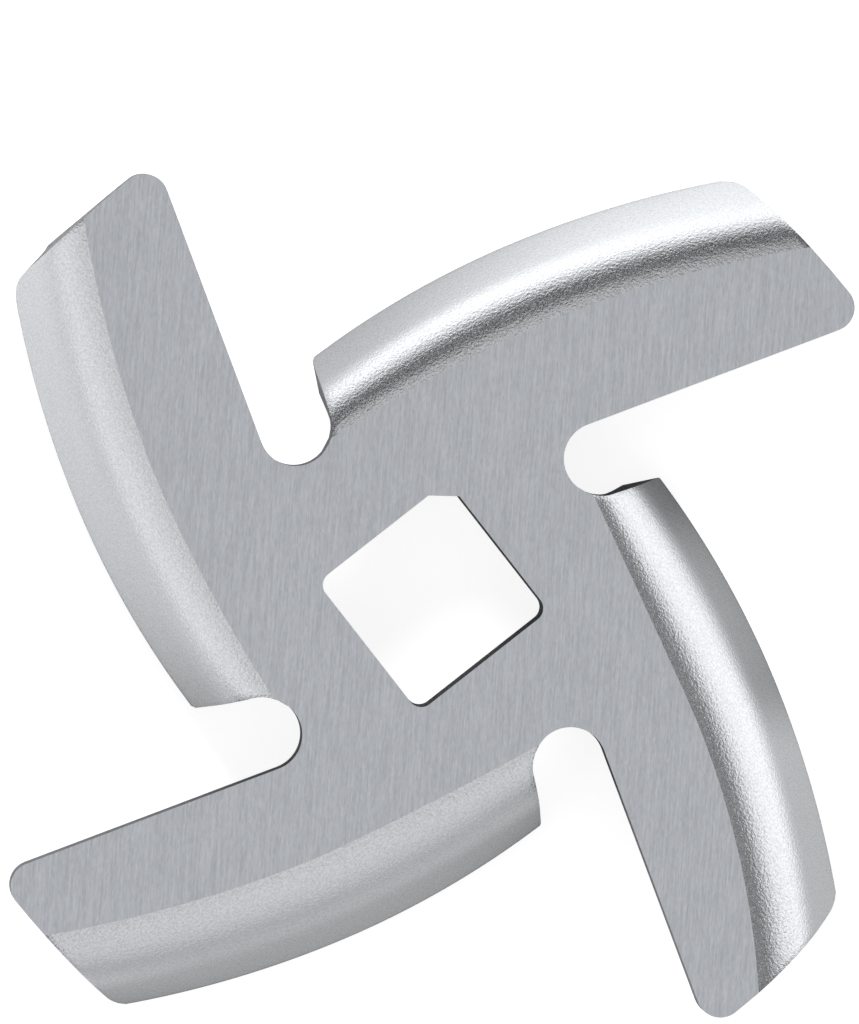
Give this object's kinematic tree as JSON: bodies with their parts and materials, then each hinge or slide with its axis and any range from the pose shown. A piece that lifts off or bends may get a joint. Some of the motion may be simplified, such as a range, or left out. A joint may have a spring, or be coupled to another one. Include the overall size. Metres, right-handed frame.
{
  "type": "meat grinder knife",
  "caption": "Pressed steel mincer knife with curved cross blades, turned-down wings, round gullets and a square hole for the feed screw.",
  "frame": {"origin": "on the axis of the square hole, at the height of the surface that the knife rests on with its four wings", "axes": "+Z along the hole's axis, out of the ground cutting face; X and Y along the sides of the square hole"},
  "size_m": [0.06, 0.06, 0.0071],
  "materials": {
    "stainless_steel": "flat face ground with fine parallel lines, turned-down wings satin as pressed and tumbled"
  },
  "bodies": {
    "root": {"knife": "stainless_steel"}
  },
  "joints": []
}
